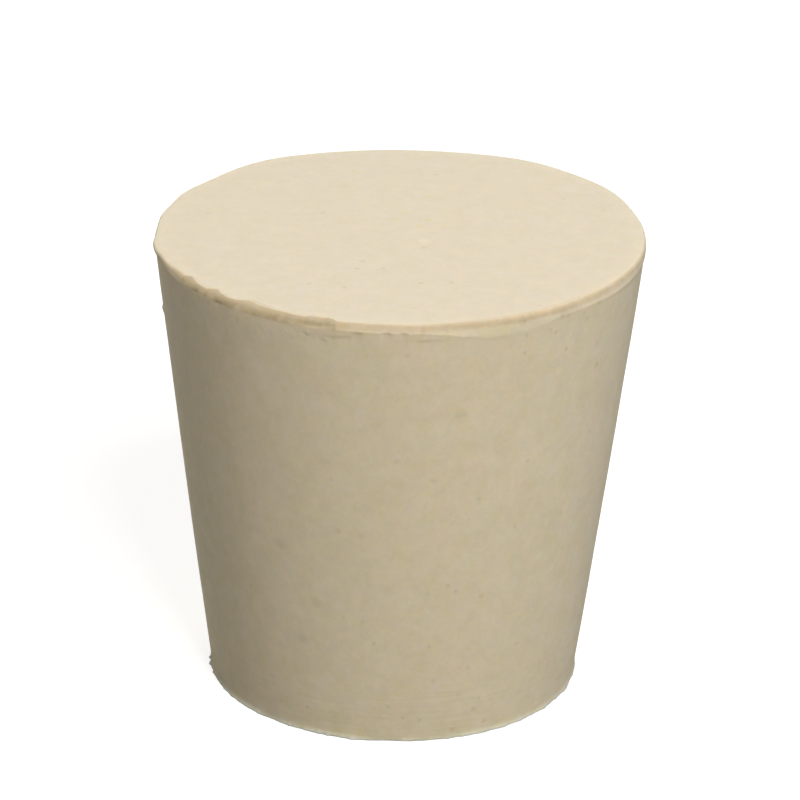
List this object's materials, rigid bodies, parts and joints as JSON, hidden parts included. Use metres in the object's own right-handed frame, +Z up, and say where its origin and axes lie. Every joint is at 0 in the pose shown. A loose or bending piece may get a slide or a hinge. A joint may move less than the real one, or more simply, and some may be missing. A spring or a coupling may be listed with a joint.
{
  "type": "rubber stopper",
  "caption": "Solid tapered rubber stopper for the mouth of a flask, bottle or tube, moulded in one piece without a hole.",
  "frame": {"origin": "middle of the narrow end face, on the surface that the stopper stands on", "axes": "+Z up along the axis, from the narrow end face to the wide one; X and Y lie in the narrow end face"},
  "size_m": [0.026, 0.026, 0.025],
  "materials": {
    "rubber": "matte cream natural rubber"
  },
  "bodies": {
    "root": {"stopper": "rubber"}
  },
  "joints": []
}
